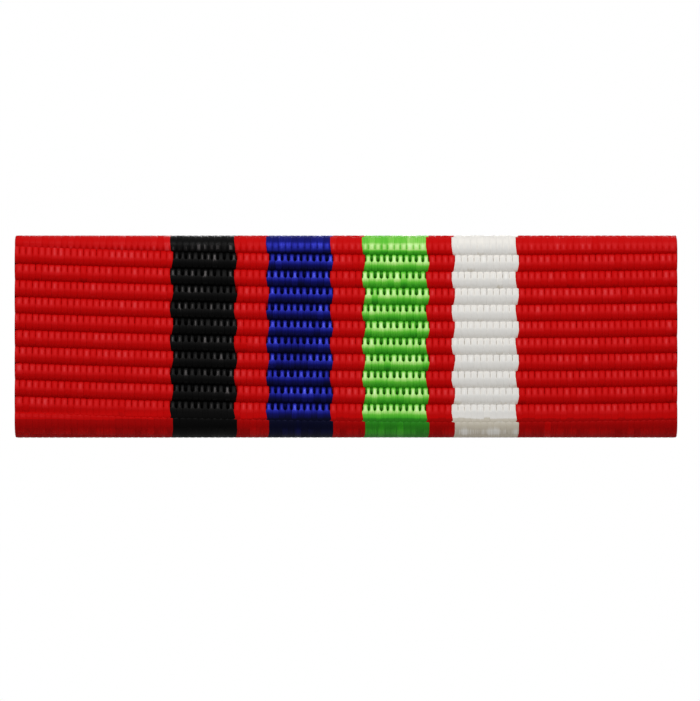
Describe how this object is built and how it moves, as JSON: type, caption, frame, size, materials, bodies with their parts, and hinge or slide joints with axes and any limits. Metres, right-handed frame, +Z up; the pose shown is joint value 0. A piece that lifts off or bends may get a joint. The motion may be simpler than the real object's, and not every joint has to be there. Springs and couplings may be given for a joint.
{
  "type": "medal ribbon bar",
  "caption": "Striped cross-ribbed ribbon wrapped round a folded metal slider, which slides onto a brooch bar with a hinged pin and a rotating safety catch.",
  "frame": {"origin": "centre of the bounding box of the whole bar, pin and catch included", "axes": "+Z up as worn, +X towards the viewer's right when looking at the ribbon, +Y from the ribbon's face towards the wearer"},
  "size_m": [0.032, 0.0048, 0.0098],
  "materials": {
    "red_ribbon": "ribbed satin weave",
    "black_ribbon": "ribbed satin weave",
    "blue_ribbon": "ribbed satin weave",
    "green_ribbon": "ribbed satin weave",
    "white_ribbon": "ribbed satin weave",
    "brass": "satin, lightly tarnished",
    "nickel": "nickel plate",
    "pin_steel": "drawn and polished",
    "solder": "dull soft solder",
    "adhesive": "clear film, slightly yellow"
  },
  "bodies": {
    "bar": {"brooch_bar": "brass", "hinge_bracket": "brass", "hinge_solder": "solder", "hinge_rivet": "nickel", "catch_housing": "brass", "catch_solder": "solder"},
    "slider": {"ribbon_slider": "nickel", "adhesive_front": "adhesive", "adhesive_upper_lip": "adhesive", "adhesive_lower_lip": "adhesive", "ribbon_1_red": "red_ribbon", "ribbon_2_black": "black_ribbon", "ribbon_3_red": "red_ribbon", "ribbon_4_blue": "blue_ribbon", "ribbon_5_red": "red_ribbon", "ribbon_6_green": "green_ribbon", "ribbon_7_red": "red_ribbon", "ribbon_8_white": "white_ribbon", "ribbon_9_red": "red_ribbon"},
    "pin": {"pin_stem": "pin_steel"},
    "sleeve": {"catch_sleeve": "nickel"}
  },
  "joints": [
    {"name": "slider_slide", "type": "slide", "parent": "bar", "child": "slider", "axis": [1, 0, 0], "range_m": [0, 0.033]},
    {"name": "pin_hinge", "type": "hinge", "parent": "bar", "child": "pin", "pos_m": [0.0115, 0.00109, 0], "axis": [0, 0, -1], "range_deg": [0, 130]},
    {"name": "catch_turn", "type": "hinge", "parent": "bar", "child": "sleeve", "pos_m": [-0.0115, 0.00109, 0], "axis": [1, 0, 0], "range_deg": [0, 170]}
  ]
}
